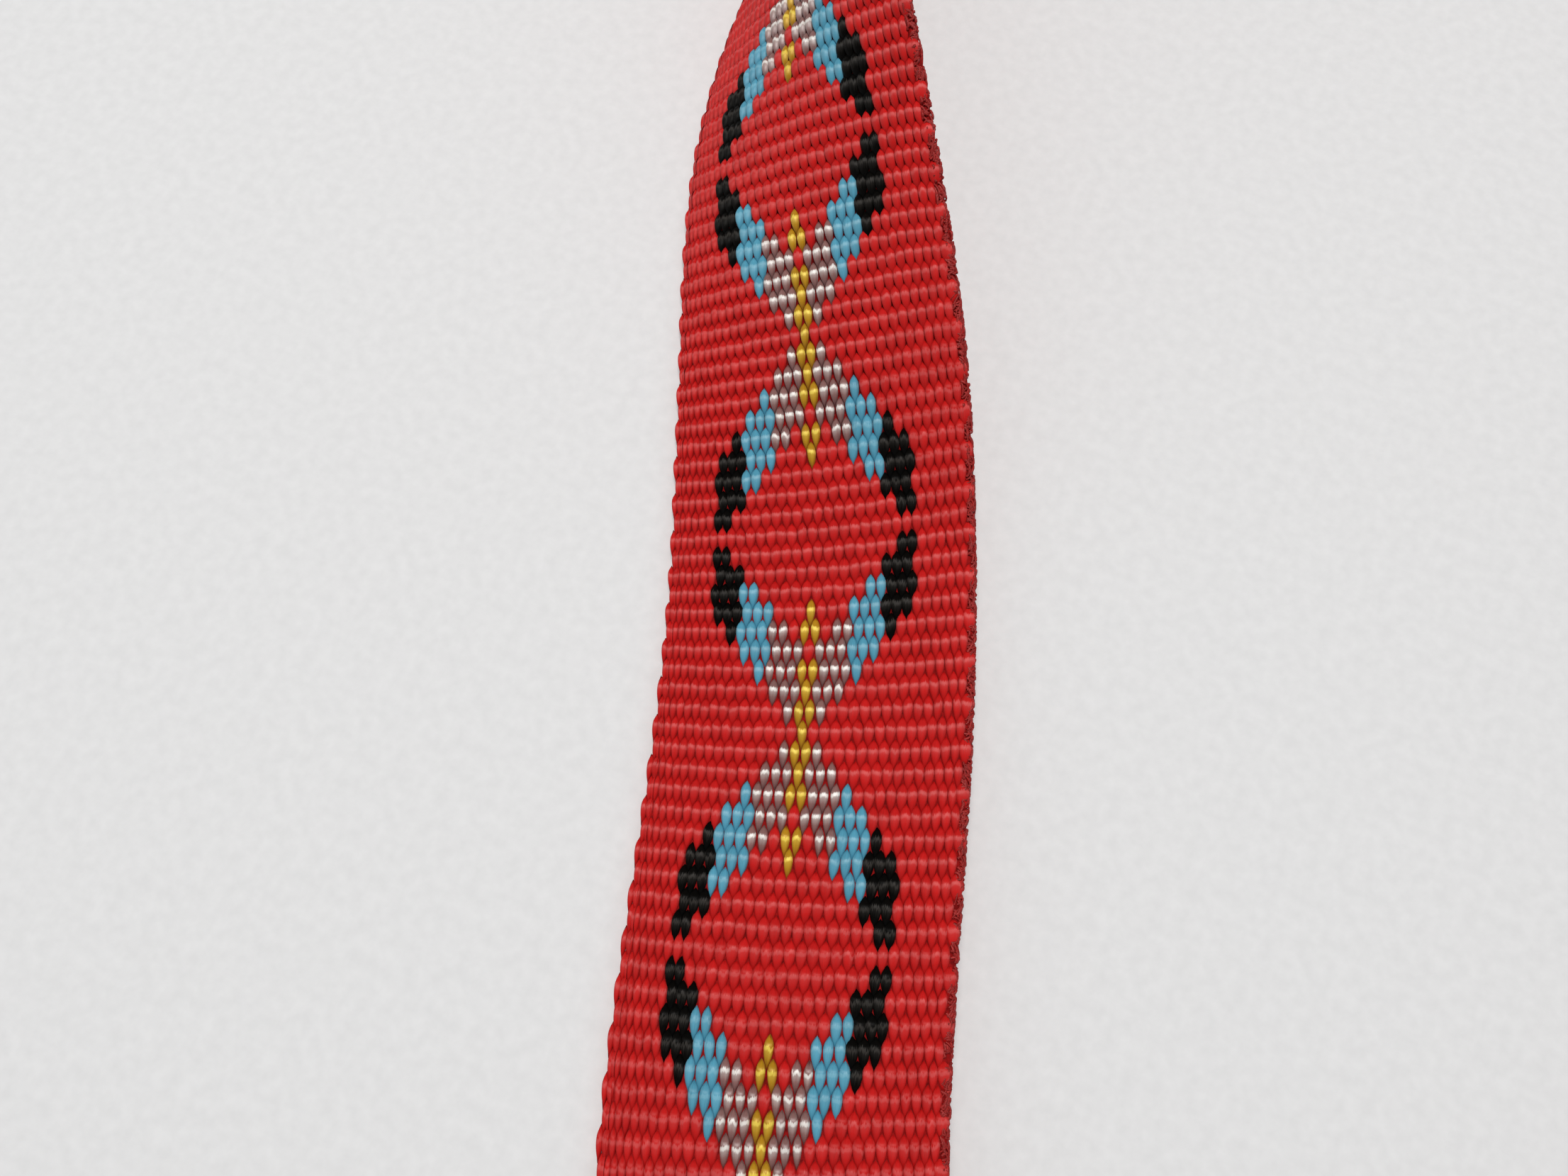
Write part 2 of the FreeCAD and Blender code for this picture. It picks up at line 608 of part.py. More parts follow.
def make_hook():
    """A flat snap hook with a long throat, a mouth in its side and a slot for the gate's root."""
    thick = "sizes.hook_thickness"
    outer = "sizes.hook_outer_radius"
    blank = fuse("hook_blank", [
        disc("hook_round_upper", outer, "0", HOOK_UPPER_Y, thick),
        disc("hook_round_lower", outer, "0", HOOK_LOWER_Y, thick),
        slab("hook_sides", "-" + outer, HOOK_LOWER_Y, "2 * " + outer, "sizes.hook_straight", thick),
    ])
    throat_upper_y = "(%s - %s)" % (THROAT_TOP_Y, HOOK_INNER)
    throat_length = "%s - %s" % (throat_upper_y, HOOK_LOWER_Y)
    throat = fuse("throat", [
        disc("throat_upper", HOOK_INNER, "0", throat_upper_y, thick),
        disc("throat_lower", HOOK_INNER, "0", HOOK_LOWER_Y, thick),
        slab("throat_sides", "-" + HOOK_INNER, HOOK_LOWER_Y, "2 * " + HOOK_INNER, throat_length, thick),
    ])
    closed_hook = cut("hook_closed", blank, [throat])
    rounded = round_edges("hook_rounded", closed_hook, size("hook_round"), flat_rim(size("hook_thickness")))
    collar_place = ("0", "%s - sizes.collar_root" % HOOK_TOP_Y, EYE_Z)
    collar_length = "sizes.collar_length + sizes.collar_root"
    collar = rod("hook_collar", "sizes.collar_radius", collar_length, collar_place, ALONG_Y)
    with_collar = fuse("hook_with_collar", [rounded, collar])
    mouth_x = "(%s - sizes.mouth_inset)" % HOOK_INNER
    mouth_width = "sizes.hook_bar_width + sizes.mouth_inset + sizes.fused_overlap"
    mouth = slab("mouth", mouth_x, MOUTH_BOTTOM_Y, mouth_width, "sizes.mouth_length", thick)
    slot_x = "(%s - sizes.gate_slot_reach)" % PIN_X
    slot_y = "(%s - sizes.fused_overlap)" % MOUTH_TOP_Y
    slot_top_y = "(%s + sizes.gate_root_radius + sizes.gate_root_gap)" % PIN_Y
    slot_width = "sizes.gate_slot_reach + sizes.pin_inset + sizes.fused_overlap"
    slot_thickness = "sizes.gate_thickness + 2 * sizes.gate_side_gap"
    slot_length = "%s - %s" % (slot_top_y, slot_y)
    gate_slot = slab("gate_slot", slot_x, slot_y, slot_width, slot_length, slot_thickness)
    pin_hole = disc("pin_hole", "sizes.pin_radius", PIN_X, PIN_Y, thick)
    seat_place = ("0", RIVET_END_Y, EYE_Z)
    rivet_seat = rod("rivet_seat", "sizes.rivet_radius", "sizes.rivet_seat_depth", seat_place, ALONG_Y)
    return cut("hook_body", with_collar, [mouth, gate_slot, pin_hole, rivet_seat])


def make_gate():
    """The gate that closes the mouth, with its thumb tab and locking toe, on a pin with a torsion spring."""
    thick = "sizes.gate_thickness"
    overlap = "sizes.fused_overlap"
    bar_width = "sizes.gate_bar_width"
    bar_x = "(%s - %s / 2)" % (PIN_X, bar_width)
    bar_end_y = "(%s + sizes.gate_end_gap)" % MOUTH_BOTTOM_Y
    bar_length = "%s - %s" % (PIN_Y, bar_end_y)
    toe_x = "(%s - sizes.gate_end_gap - sizes.gate_toe_width)" % HOOK_INNER
    toe_y = "(%s - sizes.gate_toe_length)" % bar_end_y
    toe_length = "sizes.gate_toe_length + " + overlap
    cross_width = "%s - %s + %s" % (bar_x, toe_x, overlap)
    tab_x = "(%s + %s / 2 - %s)" % (PIN_X, bar_width, overlap)
    tab_y = "(%s - sizes.thumb_tab_drop - sizes.thumb_tab_length)" % PIN_Y
    tab_reach = "sizes.thumb_tab_reach + " + overlap
    blank = fuse("gate_blank", [
        disc("gate_root", "sizes.gate_root_radius", PIN_X, PIN_Y, thick),
        slab("gate_bar", bar_x, bar_end_y, bar_width, bar_length, thick),
        slab("gate_cross", toe_x, bar_end_y, cross_width, "sizes.gate_cross_length", thick),
        slab("gate_toe", toe_x, toe_y, "sizes.gate_toe_width", toe_length, thick),
        slab("thumb_tab", tab_x, tab_y, tab_reach, "sizes.thumb_tab_length", thick),
    ])
    rounded = round_edges("gate_rounded", blank, size("gate_edge_round"), flat_rim(size("gate_thickness")))
    coil_radius = "sizes.spring_inner_radius + sizes.spring_wire"
    recess_radius = coil_radius + " + sizes.spring_recess_gap"
    recess_depth = "sizes.spring_length + 2 * sizes.spring_recess_gap"
    recess = disc("spring_recess", recess_radius, PIN_X, PIN_Y, recess_depth)
    window_side = "sizes.spring_window"
    window = slab("spring_window", PIN_X + " - " + window_side, PIN_Y, window_side, window_side, recess_depth)
    hole = disc("gate_hole", "sizes.pin_radius + sizes.pin_clearance", PIN_X, PIN_Y, thick)
    gate = cut("gate", rounded, [recess, window, hole])
    pin = disc("gate_pin", "sizes.pin_radius", PIN_X, PIN_Y, "sizes.hook_thickness")
    coil = disc("coil_outside", coil_radius, PIN_X, PIN_Y, "sizes.spring_length")
    wire = "sizes.spring_wire"
    reach = "sizes.spring_leg_reach"
    leg_y = "%s + sizes.spring_inner_radius" % PIN_Y
    leg = slab("spring_leg", PIN_X + " - " + reach, leg_y, reach, wire, wire)
    blank_spring = fuse("spring_blank", [coil, leg])
    bore = disc("coil_bore", "sizes.spring_inner_radius", PIN_X, PIN_Y, "sizes.spring_length")
    spring = cut("gate_spring", blank_spring, [bore])
    return [gate, pin, spring]


# ---------------------------------------------------------------- the strap

def write(parts):
    doc.recompute()
    for item in doc.Objects:
        if "Invalid" in item.State or "Error" in item.State:
            raise RuntimeError("%s failed: %s" % (item.Label, item.State))
    for part in parts:
        if part.Shape.isNull() or not part.Shape.isValid() or not part.Shape.Solids:
            raise RuntimeError("%s has no valid solid" % part.Label)
    os.makedirs("parts", exist_ok=True)
    for part in parts:
        part.Shape.exportStep("parts/%s.step" % part.Label)
        bounds = part.Shape.BoundBox
        print("%-16s %2d solid(s) %10.2f mm3  x %.1f %.1f  y %.1f %.1f  z %.2f %.2f" % (
            part.Label, len(part.Shape.Solids), part.Shape.Volume,
            bounds.XMin, bounds.XMax, bounds.YMin, bounds.YMax, bounds.ZMin, bounds.ZMax,
        ))


run, radius, half_bend = neck_plan()
print("straight run %.1f, bend radius %.1f, bend half length %.1f" % (run, radius, half_bend * radius))
write(make_webbing() + make_slider() + [make_eye()] + make_swivel() + [make_hook()] + make_gate())
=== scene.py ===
import math

import bpy
import numpy as np
from mathutils import Matrix, Vector


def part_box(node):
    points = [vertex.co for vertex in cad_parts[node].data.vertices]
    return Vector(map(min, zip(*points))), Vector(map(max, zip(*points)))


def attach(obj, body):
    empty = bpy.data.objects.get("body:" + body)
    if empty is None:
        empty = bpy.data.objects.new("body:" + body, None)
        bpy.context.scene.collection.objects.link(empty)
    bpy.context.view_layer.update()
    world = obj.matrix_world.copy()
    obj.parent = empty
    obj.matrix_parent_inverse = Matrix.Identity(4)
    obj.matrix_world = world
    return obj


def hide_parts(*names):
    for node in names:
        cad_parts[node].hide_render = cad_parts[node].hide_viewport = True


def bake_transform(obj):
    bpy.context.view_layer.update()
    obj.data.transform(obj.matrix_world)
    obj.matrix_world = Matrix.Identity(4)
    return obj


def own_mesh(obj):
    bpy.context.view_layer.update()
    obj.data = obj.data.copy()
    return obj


# A saxophone neck strap: one length of patterned warp-faced webbing, a three-bar slide and a
# swivel snap hook. The frame is in metres. The webbing's own sizes below are in millimetres and
# turn into metres in add_mesh().

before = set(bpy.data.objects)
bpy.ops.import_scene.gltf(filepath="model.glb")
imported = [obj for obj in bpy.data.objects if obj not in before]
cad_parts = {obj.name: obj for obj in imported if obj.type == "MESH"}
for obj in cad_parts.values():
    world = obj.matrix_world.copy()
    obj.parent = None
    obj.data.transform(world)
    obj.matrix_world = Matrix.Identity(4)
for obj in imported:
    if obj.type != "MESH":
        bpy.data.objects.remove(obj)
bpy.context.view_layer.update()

MM = 0.001
RED, WHITE, BLUE, BLACK, YELLOW = range(5)

# ---------------------------------------------------------------- places taken from the frame


def span(node, axis):
    """A node's lowest and highest value along an axis, in millimetres."""
    low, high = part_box(node)
    return low[axis] / MM, high[axis] / MM


LAP_START_Y, NECK_TOP_Y = span("neck_webbing", 1)
EYE_Y, FOLD_START_Y = span("return_webbing", 1)
SLIDER_BAR_LOW, SLIDER_BAR_HIGH = span("slider_bar", 1)
SLIDER_Y = (SLIDER_BAR_LOW + SLIDER_BAR_HIGH) / 2
SLIDER_BAR_Z = sum(span("slider_bar", 2)) / 2
FOLD_TOP_Z = span("slider_fold", 2)[1]
BIGHT_LOW_Z, BIGHT_HIGH_Z = span("hook_bight", 2)
WIDTH = span("lower_webbing", 0)[1] * 2
SLIDER_HALF_LENGTH = (span("slider_frame", 1)[1] - span("slider_frame", 1)[0]) / 2

# ---------------------------------------------------------------- the strap's line

THICKNESS = 1.5
HALF_THICKNESS = THICKNESS / 2
STEP = 0.5
SPREAD = math.radians(24)
FLARE = 120.0
BEND_RAMP = 0.44
LAP = 26.0
LAP_GAP = 0.1
LAP_STACK_RUN, LAP_STEP_RUN = 90.0, 45.0
SWAY, SWAY_HALF_LENGTH, SWAY_FROM_TOP = 3.7, 54.0, 207.0
TWIST_LENGTH, EDGE_STAND_HALF = 165.0, 118.0
TWIST_SHARES = (0.0, 0.11, 0.29, 0.46, 0.56, 0.65, 0.745, 0.84, 1.0)
TWIST_DEGREES = (0.0, 6.0, 7.0, 8.0, 23.0, 37.0, 54.0, 69.5, 90.0)
SLIDER_HEADROOM = 4.0
TAIL_LENGTH = 28.0
FOLD_DROP_RUN = 9.0


def ease(share):
    share = np.clip(share, 0, 1)
    return share * share * (3 - 2 * share)


def twist_angle(share):
    """How far the face has turned, in radians, by a smooth curve through the twist's stations."""
    x = np.array(TWIST_SHARES)
    y = np.array(TWIST_DEGREES)
    slopes = np.zeros(len(x))
    slopes[1:-1] = (y[2:] - y[:-2]) / (x[2:] - x[:-2])
    share = np.clip(share, 0, 1)
    index = np.clip(np.searchsorted(x, share, side="right") - 1, 0, len(x) - 2)
    width = x[index + 1] - x[index]
    rise = y[index + 1] - y[index]
    p = (share - x[index]) / width
    bend = (slopes[index] * width - rise) * (1 - p) + (rise - slopes[index + 1] * width) * p
    return np.radians(y[index] + rise * p + p * (1 - p) * bend)


def neck_plan():
    """The neck loop's straight run, bend radius and half the bend's length."""
    steps = 2000
    half_bend = (math.pi / 2 + SPREAD) / (1 - BEND_RAMP / 2)
    at = (np.arange(steps) + 0.5) / steps
    curvature = np.where(at < 1 - BEND_RAMP, 1.0, (1 - at) / BEND_RAMP)
    heading = math.pi / 2 - (np.cumsum(curvature) - curvature / 2) * half_bend / steps
    across = np.sin(heading).sum() * half_bend / steps
    along = np.cos(heading).sum() * half_bend / steps
    flare_radius = FLARE / SPREAD
    flare_x = flare_radius * (1 - math.cos(SPREAD))
    flare_y = flare_radius * math.sin(SPREAD)
    room = NECK_TOP_Y - HALF_THICKNESS - (LAP_START_Y + LAP) - flare_y
    run = (room * across - flare_x * along) / (math.cos(SPREAD) * across + math.sin(SPREAD) * along)
    radius = (flare_x + run * math.sin(SPREAD)) / across
    return run, radius, half_bend * radius


def neck_path():
    """The neck loop from the sewn end up the left leg, round the neck and down the right leg."""
    run, radius, bend = neck_plan()
    half = LAP + FLARE + run + bend
    count = int(round(half / STEP))
    step = half / count
    at = (np.arange(count) + 0.5) * step
    share = (half - at) / bend
    curvature = np.where(share < 1 - BEND_RAMP, 1.0, np.clip((1 - share) / BEND_RAMP, 0, 1)) / radius
    in_flare = (at >= LAP) & (at < LAP + FLARE)
    curvature = np.where(at < LAP + FLARE + run, np.where(in_flare, -SPREAD / FLARE, 0.0), curvature)
    heading = np.concatenate([[0], np.cumsum(curvature * step)])
    middle = heading[:-1] + curvature * step / 2
    x = np.concatenate([[0], np.cumsum(np.sin(middle) * step)])
    y = LAP_START_Y + np.concatenate([[0], np.cumsum(np.cos(middle) * step)])
    away = half - np.arange(count + 1) * step
    x -= x[-1] * (1 - away / half)
    sway = np.clip((away - SWAY_FROM_TOP) / SWAY_HALF_LENGTH, -1, 1)
    reach = SWAY * np.cos(math.pi * sway / 2) ** 2
    x += reach * np.cos(heading)
    y -= reach * np.sin(heading)
    steepest = math.pi * SWAY / (2 * SWAY_HALF_LENGTH)
    heading = heading + np.arctan(steepest * np.sin(math.pi * sway))
    roll = twist_angle(1 - (away - EDGE_STAND_HALF) / TWIST_LENGTH)
    z = WIDTH / 2 * np.sin(roll) + HALF_THICKNESS * np.cos(roll)
    lift = (1 - ease((half - LAP - away - LAP_STACK_RUN) / LAP_STEP_RUN)) * (THICKNESS + LAP_GAP)
    left = np.stack([x, y, z + lift], 1)
    right = np.stack([-x, y, z], 1)[-2::-1]
    centre = np.concatenate([left, right])
    level = np.stack([np.cos(heading), -np.sin(heading), 0 * heading], 1)
    up = np.array([0.0, 0.0, 1.0])
    across_left = level * np.cos(roll)[:, None] + up * np.sin(roll)[:, None]
    across_right = (across_left * np.array([-1.0, 1.0, 1.0]))[-2::-1]
    along_distance = np.concatenate([half - away, half + away[-2::-1]])
    return along_distance, centre, np.concatenate([across_left, across_right]), half


def squared(across, centre):
    """The width direction made square to the line, and the face direction."""
    along = np.gradient(centre, axis=0)
    along /= np.linalg.norm(along, axis=1)[:, None]
    across = across - along * (across * along).sum(1)[:, None]
    across /= np.linalg.norm(across, axis=1)[:, None]
    return across, np.cross(across, along)


def yz_path(points, start):
    """A path across +-X through points of (y, z), resampled every STEP mm, from this distance on."""
    points = np.array(points)
    lengths = np.concatenate([[0], np.cumsum(np.linalg.norm(np.diff(points, axis=0), axis=1))])
    at = np.linspace(0, lengths[-1], max(int(lengths[-1] / STEP), 4) + 1)
    y = np.interp(at, lengths, points[:, 0])
    z = np.interp(at, lengths, points[:, 1])
    centre = np.stack([0 * at, y, z], 1)
    across = np.tile([-1.0, 0.0, 0.0], (len(at), 1))
    across, face = squared(across, centre)
    return start + at, centre, across, face


def arc(y, z, radius, start, sweep, steps=24):
    angles = np.radians(start + sweep * np.arange(steps + 1) / steps)
    return [(y + radius * math.cos(a), z + radius * math.sin(a)) for a in angles]


def strap_path():
    """Where each stretch begins and ends, the whole strap, and half the neck loop's length.

    The strap is its distance along, its centre, and its width and face directions.
    """
    distance, centre, across, half = neck_path()
    across, face = squared(across, centre)
    paths = {"neck": (distance, centre, across, face)}
    web_z = BIGHT_LOW_Z + HALF_THICKNESS
    ramp_end = SLIDER_Y + SLIDER_HALF_LENGTH + SLIDER_HEADROOM
    shares = np.linspace(0, 1, 25)
    ramp = np.stack([
        LAP_START_Y - shares * (LAP_START_Y - ramp_end),
        HALF_THICKNESS + ease(shares) * (web_z - HALF_THICKNESS),
    ], 1)
    paths["lower"] = yz_path(list(ramp) + [(EYE_Y, web_z)], distance[-1])
    eye_z = (BIGHT_LOW_Z + BIGHT_HIGH_Z) / 2
    bight_radius = (BIGHT_HIGH_Z - BIGHT_LOW_Z) / 2 - HALF_THICKNESS
    paths["bight"] = yz_path(arc(EYE_Y, eye_z, bight_radius, -90, -180), paths["lower"][0][-1])
    fold_radius = FOLD_TOP_Z - SLIDER_BAR_Z - HALF_THICKNESS
    fold_z = SLIDER_BAR_Z - fold_radius
    back = [(EYE_Y, eye_z + bight_radius), (FOLD_START_Y, fold_z)]
    paths["return"] = yz_path(back, paths["bight"][0][-1])
    tail_z = fold_z + THICKNESS + LAP_GAP
    fold = [(FOLD_START_Y, fold_z)] + arc(SLIDER_Y, SLIDER_BAR_Z, fold_radius, -90, 180)
    drop = np.linspace(0, 1, 13)[1:]
    top_z = SLIDER_BAR_Z + fold_radius
    for share in drop:
        height = top_z + float(ease(share)) * (tail_z - top_z)
        fold.append((SLIDER_Y - share * FOLD_DROP_RUN, height))
    fold.append((SLIDER_Y - TAIL_LENGTH, tail_z))
    paths["fold"] = yz_path(fold, paths["return"][0][-1])
    whole = [np.concatenate([path[part] for path in paths.values()]) for part in range(4)]
    kept = np.concatenate([[True], np.diff(whole[0]) > 1e-6])
    ends = {stretch: (path[0][0], path[0][-1]) for stretch, path in paths.items()}
    return ends, [part[kept] for part in whole], half


def on_strap(path, distance, sideways, height):
    """Points of the webbing at a distance along it, sideways across it and a height above its middle."""
    at, centre, across, face = path
    out = np.zeros(distance.shape + (3,))
    for axis in range(3):
        out[..., axis] = (
            np.interp(distance, at, centre[:, axis])
            + sideways * np.interp(distance, at, across[:, axis])
            + height * np.interp(distance, at, face[:, axis])
        )
    return out


# ---------------------------------------------------------------- the weave

ROW_PITCH = 1.64
COLUMN_PITCH = 0.865
MOTIF_CENTRE = -0.75
ROW_ZERO_FROM_TOP = 223.0
FIRST_COLUMN, LAST_COLUMN = -16, 15
EVEN_COLUMNS = 5.5
LEFT_CROWDING, RIGHT_CROWDING = 0.0185, 0.0085
GRAIN_LENGTH = 1.48 * ROW_PITCH
GRAIN_LOW, GRAIN_RISE = 0.26, 0.44
GRAIN_SIDE, GRAIN_ROUNDNESS = 0.42, 0.6
TOP_TAPER, TIP_TAPER = 2.3, 1.9
CREST_AT = 0.38
CORE_HALF_THICKNESS = 0.24
EDGE_ROUND, EDGE_FALL = 1.6, 0.26
LAST_GRAIN_WIDENING, LAST_GRAIN_SHIFT = 1.45, 0.08
WIDTH_JITTER, HEIGHT_JITTER, LEAN_JITTER, PLACE_JITTER = 0.03, 0.03, 0.05, 0.025
PATH_END_MARGIN = 0.1
FRONT_ORDER, BACK_ORDER, BEAD_ORDER = [0, 1, 2, 3], [3, 2, 1, 0], [0, 3, 2, 1]
MOTIF_ROWS = 20

# The weft leans and bows where the strap is bent sideways: one way below the turn, the other way above it.
# Set against the photograph's rows.
WEFT_LEAN, WEFT_BOW = math.tan(math.radians(4.5)), 0.0028
LEAN_TURNS_AT, LEAN_TURNS_OVER, LEAN_SWING = 9, 22, 2.4
LEAN_BEGINS, LEAN_FULL, LEAN_FADES, LEAN_ENDS = -110, -50, 45, 95

# One quarter of the lozenge: each word is a row, each letter a yarn from the centre outwards.
MOTIF = (
    "Y", "YW", "YWWW", "YWWWB", "RWWWBBB", "YRWWBBBK",
    "YRRRBBBKKK", "RRRRRBBKKK", "RRRRRRRKKK", "RRRRRRRRKK", "R",
)
YARN_OF = {"R": RED, "W": WHITE, "B": BLUE, "K": BLACK, "Y": YELLOW}
YARN_FILL = {RED: 1.03, WHITE: 0.82, BLUE: 0.95, BLACK: 1.08, YELLOW: 0.84}


def front_yarn(row, column):
    phase = row % MOTIF_ROWS
    word = MOTIF[min(phase, MOTIF_ROWS - phase)]
    index = int(abs(column))
    return YARN_OF[word[index]] if index < len(word) else RED


def band_yarn(column):
    """The figure's warp yarn in this column, which runs on the back wherever the front shows red."""
    reach = abs(column)
    for limit, yarn in ((1, YELLOW), (4, WHITE), (7, BLUE), (10, BLACK)):
        if reach < limit:
            return yarn
    return RED


def back_yarn(row, column):
    return band_yarn(column) if front_yarn(row, column) == RED else RED


def row_columns(row):
    if row % 2:
        return np.arange(FIRST_COLUMN + 0.5, LAST_COLUMN + 1, 1.0)
    return np.arange(FIRST_COLUMN, LAST_COLUMN + 1, 1.0)


def column_place(column):
    """A column's middle across the strap, and its pitch: the yarns crowd towards the edges."""
    crowding = LEFT_CROWDING if column < 0 else RIGHT_CROWDING
    beyond = max(abs(column) - EVEN_COLUMNS, 0)
    reach = COLUMN_PITCH * abs(column) - crowding * beyond * beyond
    return MOTIF_CENTRE + math.copysign(reach, column), COLUMN_PITCH - 2 * crowding * beyond


def weft_shift(row, sideways):
    """How far along the strap the weft lies here from where it crosses x = 0 of its width."""
    turn = float(ease((row - LEAN_TURNS_AT) / LEAN_TURNS_OVER))
    rise = float(ease((row - LEAN_BEGINS) / (LEAN_FULL - LEAN_BEGINS)))
    fade = 1 - float(ease((row - LEAN_FADES) / (LEAN_ENDS - LEAN_FADES)))
    lean = (1 - LEAN_SWING * turn) * rise * fade
    return lean * (WEFT_LEAN * sideways + WEFT_BOW * sideways * sideways)


def grains(rows, half, side):
    """(distance, sideways, yarn, width) of each grain of these rows on one face."""
    out = []
    for row in rows:
        distance = half - ROW_ZERO_FROM_TOP + row * ROW_PITCH
        for column in row_columns(row):
            yarn = front_yarn(row, column) if side > 0 else back_yarn(row, column)
            sideways, pitch = column_place(column)
            last = column > LAST_COLUMN
            width = pitch * YARN_FILL[yarn] * (LAST_GRAIN_WIDENING if last else 1.0)
            place = sideways + (LAST_GRAIN_SHIFT if last else 0.0)
            out.append((distance + weft_shift(row, place), place, yarn, width))
    return np.array(out)


def grain_profile(t):
    """Half width and crest height of a grain, as shares, from its round top (0) to its pointed tip (1)."""
    away = np.where(t < CREST_AT, (CREST_AT - t) / CREST_AT, (t - CREST_AT) / (1 - CREST_AT))
    return 1 - away ** np.where(t < CREST_AT, TOP_TAPER, TIP_TAPER), 1 - away ** 2


def on_path(path, distance):
    """A distance held inside the strap's two ends."""
    return np.clip(distance, path[0][0] + PATH_END_MARGIN, path[0][-1] - PATH_END_MARGIN)


def grain_stations(steps):
    """Shares along a grain, and angles across it."""
    long_steps, wide_steps = steps
    return np.linspace(0, 1, long_steps + 1), np.linspace(-math.pi / 2, math.pi / 2, wide_steps + 1)


def grain_quads(count, steps, order):
    """The quads of many grains' grids, each with its corners in this order."""
    long_steps, wide_steps = steps
    columns = wide_steps + 1
    cell = np.arange(long_steps)[:, None] * columns + np.arange(wide_steps)[None, :]
    corners = np.stack([cell, cell + columns, cell + columns + 1, cell + 1], -1)
    corners = corners.reshape(-1, 4)[:, order]
    stride = (long_steps + 1) * columns
    return (np.arange(count)[:, None, None] * stride + corners[None]).reshape(-1, 4)


def grain_coordinates(count, t, turn):
    """Each vertex's place across and along its grain, from 0 to 1."""
    shape = (count, len(t), len(turn))
    u = np.broadcast_to(turn / math.pi + 0.5, shape)
    v = np.broadcast_to(t[:, None], shape)
    return np.stack([u, v], -1).reshape(-1, 2)


def weave_mesh(path, table, side, steps, seed):
    """Vertices, quads, yarn of each quad and shading coordinates of the grains in the table."""
    generator = np.random.default_rng(seed)
    count = len(table)
    t, turn = grain_stations(steps)
    width, crest = grain_profile(t)
    jitter = generator.normal(0, 1, (count, 4))
    half_width = table[:, 3] / 2 * (1 + WIDTH_JITTER * jitter[:, 0])
    lean = LEAN_JITTER * jitter[:, 1]
    rise = GRAIN_RISE * (1 + HEIGHT_JITTER * jitter[:, 2])
    shift = PLACE_JITTER * jitter[:, 3]
    start = table[:, 0, None, None] + shift[:, None, None]
    distance = start + GRAIN_LENGTH * (CREST_AT - t)[None, :, None] + 0 * turn
    reach = half_width[:, None, None] * width[None, :, None] * np.sin(turn)[None, None, :]
    sideways = table[:, 1, None, None] + reach + lean[:, None, None] * (t - 0.5)[None, :, None]
    crown = GRAIN_LOW + rise[:, None, None] * crest[None, :, None]
    height = crown * (GRAIN_SIDE + (1 - GRAIN_SIDE) * np.cos(turn)[None, None, :] ** GRAIN_ROUNDNESS)
    height = height - EDGE_FALL * ease((np.abs(sideways) - WIDTH / 2 + EDGE_ROUND) / EDGE_ROUND)
    points = on_strap(path, on_path(path, distance), sideways, side * height)
    quads = grain_quads(count, steps, FRONT_ORDER if side > 0 else BACK_ORDER)
    yarns = np.repeat(table[:, 2].astype(int), steps[0] * steps[1])
    number = np.repeat(generator.random(count), len(t) * len(turn))
    return points.reshape(-1, 3), quads, yarns, grain_coordinates(count, t, turn), number


# ---------------------------------------------------------------- meshes


def add_mesh(name, points, quads, materials, slots=None, coordinates=None, numbers=None, smooth=True):
    """A mesh object in metres from points in millimetres."""
    mesh = bpy.data.meshes.new(name)
    mesh.vertices.add(len(points))
    mesh.vertices.foreach_set("co", (np.asarray(points) * MM).astype(np.float32).ravel())
    sizes = quads.shape[1]
    mesh.loops.add(quads.size)
    mesh.loops.foreach_set("vertex_index", quads.astype(np.int32).ravel())
    mesh.polygons.add(len(quads))
    mesh.polygons.foreach_set("loop_start", np.arange(0, quads.size, sizes, dtype=np.int32))
    mesh.update(calc_edges=True)
    for material in materials:
        mesh.materials.append(material)
    if slots is not None:
        mesh.polygons.foreach_set("material_index", slots.astype(np.int32))
    mesh.polygons.foreach_set("use_smooth", np.full(len(quads), smooth))
    if coordinates is not None:
        layer = mesh.uv_layers.new(name="yarn")
        layer.data.foreach_set("uv", coordinates[quads.ravel()].astype(np.float32).ravel())
    if numbers is not None:
        attribute = mesh.attributes.new("number", "FLOAT", "POINT")
        attribute.data.foreach_set("value", numbers.astype(np.float32))
    mesh.validate()
    item = bpy.data.objects.new(name, mesh)
    bpy.context.scene.collection.objects.link(item)
    return item


def grid_quads(rows, columns):
    """The quads of a grid whose last column joins its first."""
    first = np.arange(rows - 1)[:, None] * columns
    cell = first + np.arange(columns)
    right = first + (np.arange(columns) + 1) % columns
    return np.stack([cell, right, right + columns, cell + columns], -1).reshape(-1, 4)


def tubes(curves, radius, sides, curve_up):
    """Round tubes along many curves (number, points, 3) at once, each with its own radius."""
    along = np.gradient(curves, axis=1)
    along /= np.linalg.norm(along, axis=2)[..., None] + 1e-9
    out = np.cross(along, curve_up)
    out /= np.linalg.norm(out, axis=2)[..., None] + 1e-9
    up = np.cross(out, along)
    angles = np.arange(sides) * 2 * math.pi / sides
    ring = out[:, :, None] * np.cos(angles)[:, None] + up[:, :, None] * np.sin(angles)[:, None]
    points = curves[:, :, None] + ring * radius[:, None, None, None]
    rows = curves.shape[1]
    quads = grid_quads(rows, sides)
    every = (np.arange(len(curves))[:, None, None] * rows * sides + quads[None]).reshape(-1, 4)
    v = np.linspace(0, 1, rows)[None, :, None] + np.zeros((len(curves), rows, sides))
    u = np.broadcast_to(np.arange(sides) / sides, v.shape)
    return points.reshape(-1, 3), every, np.stack([u, v], -1).reshape(-1, 2)


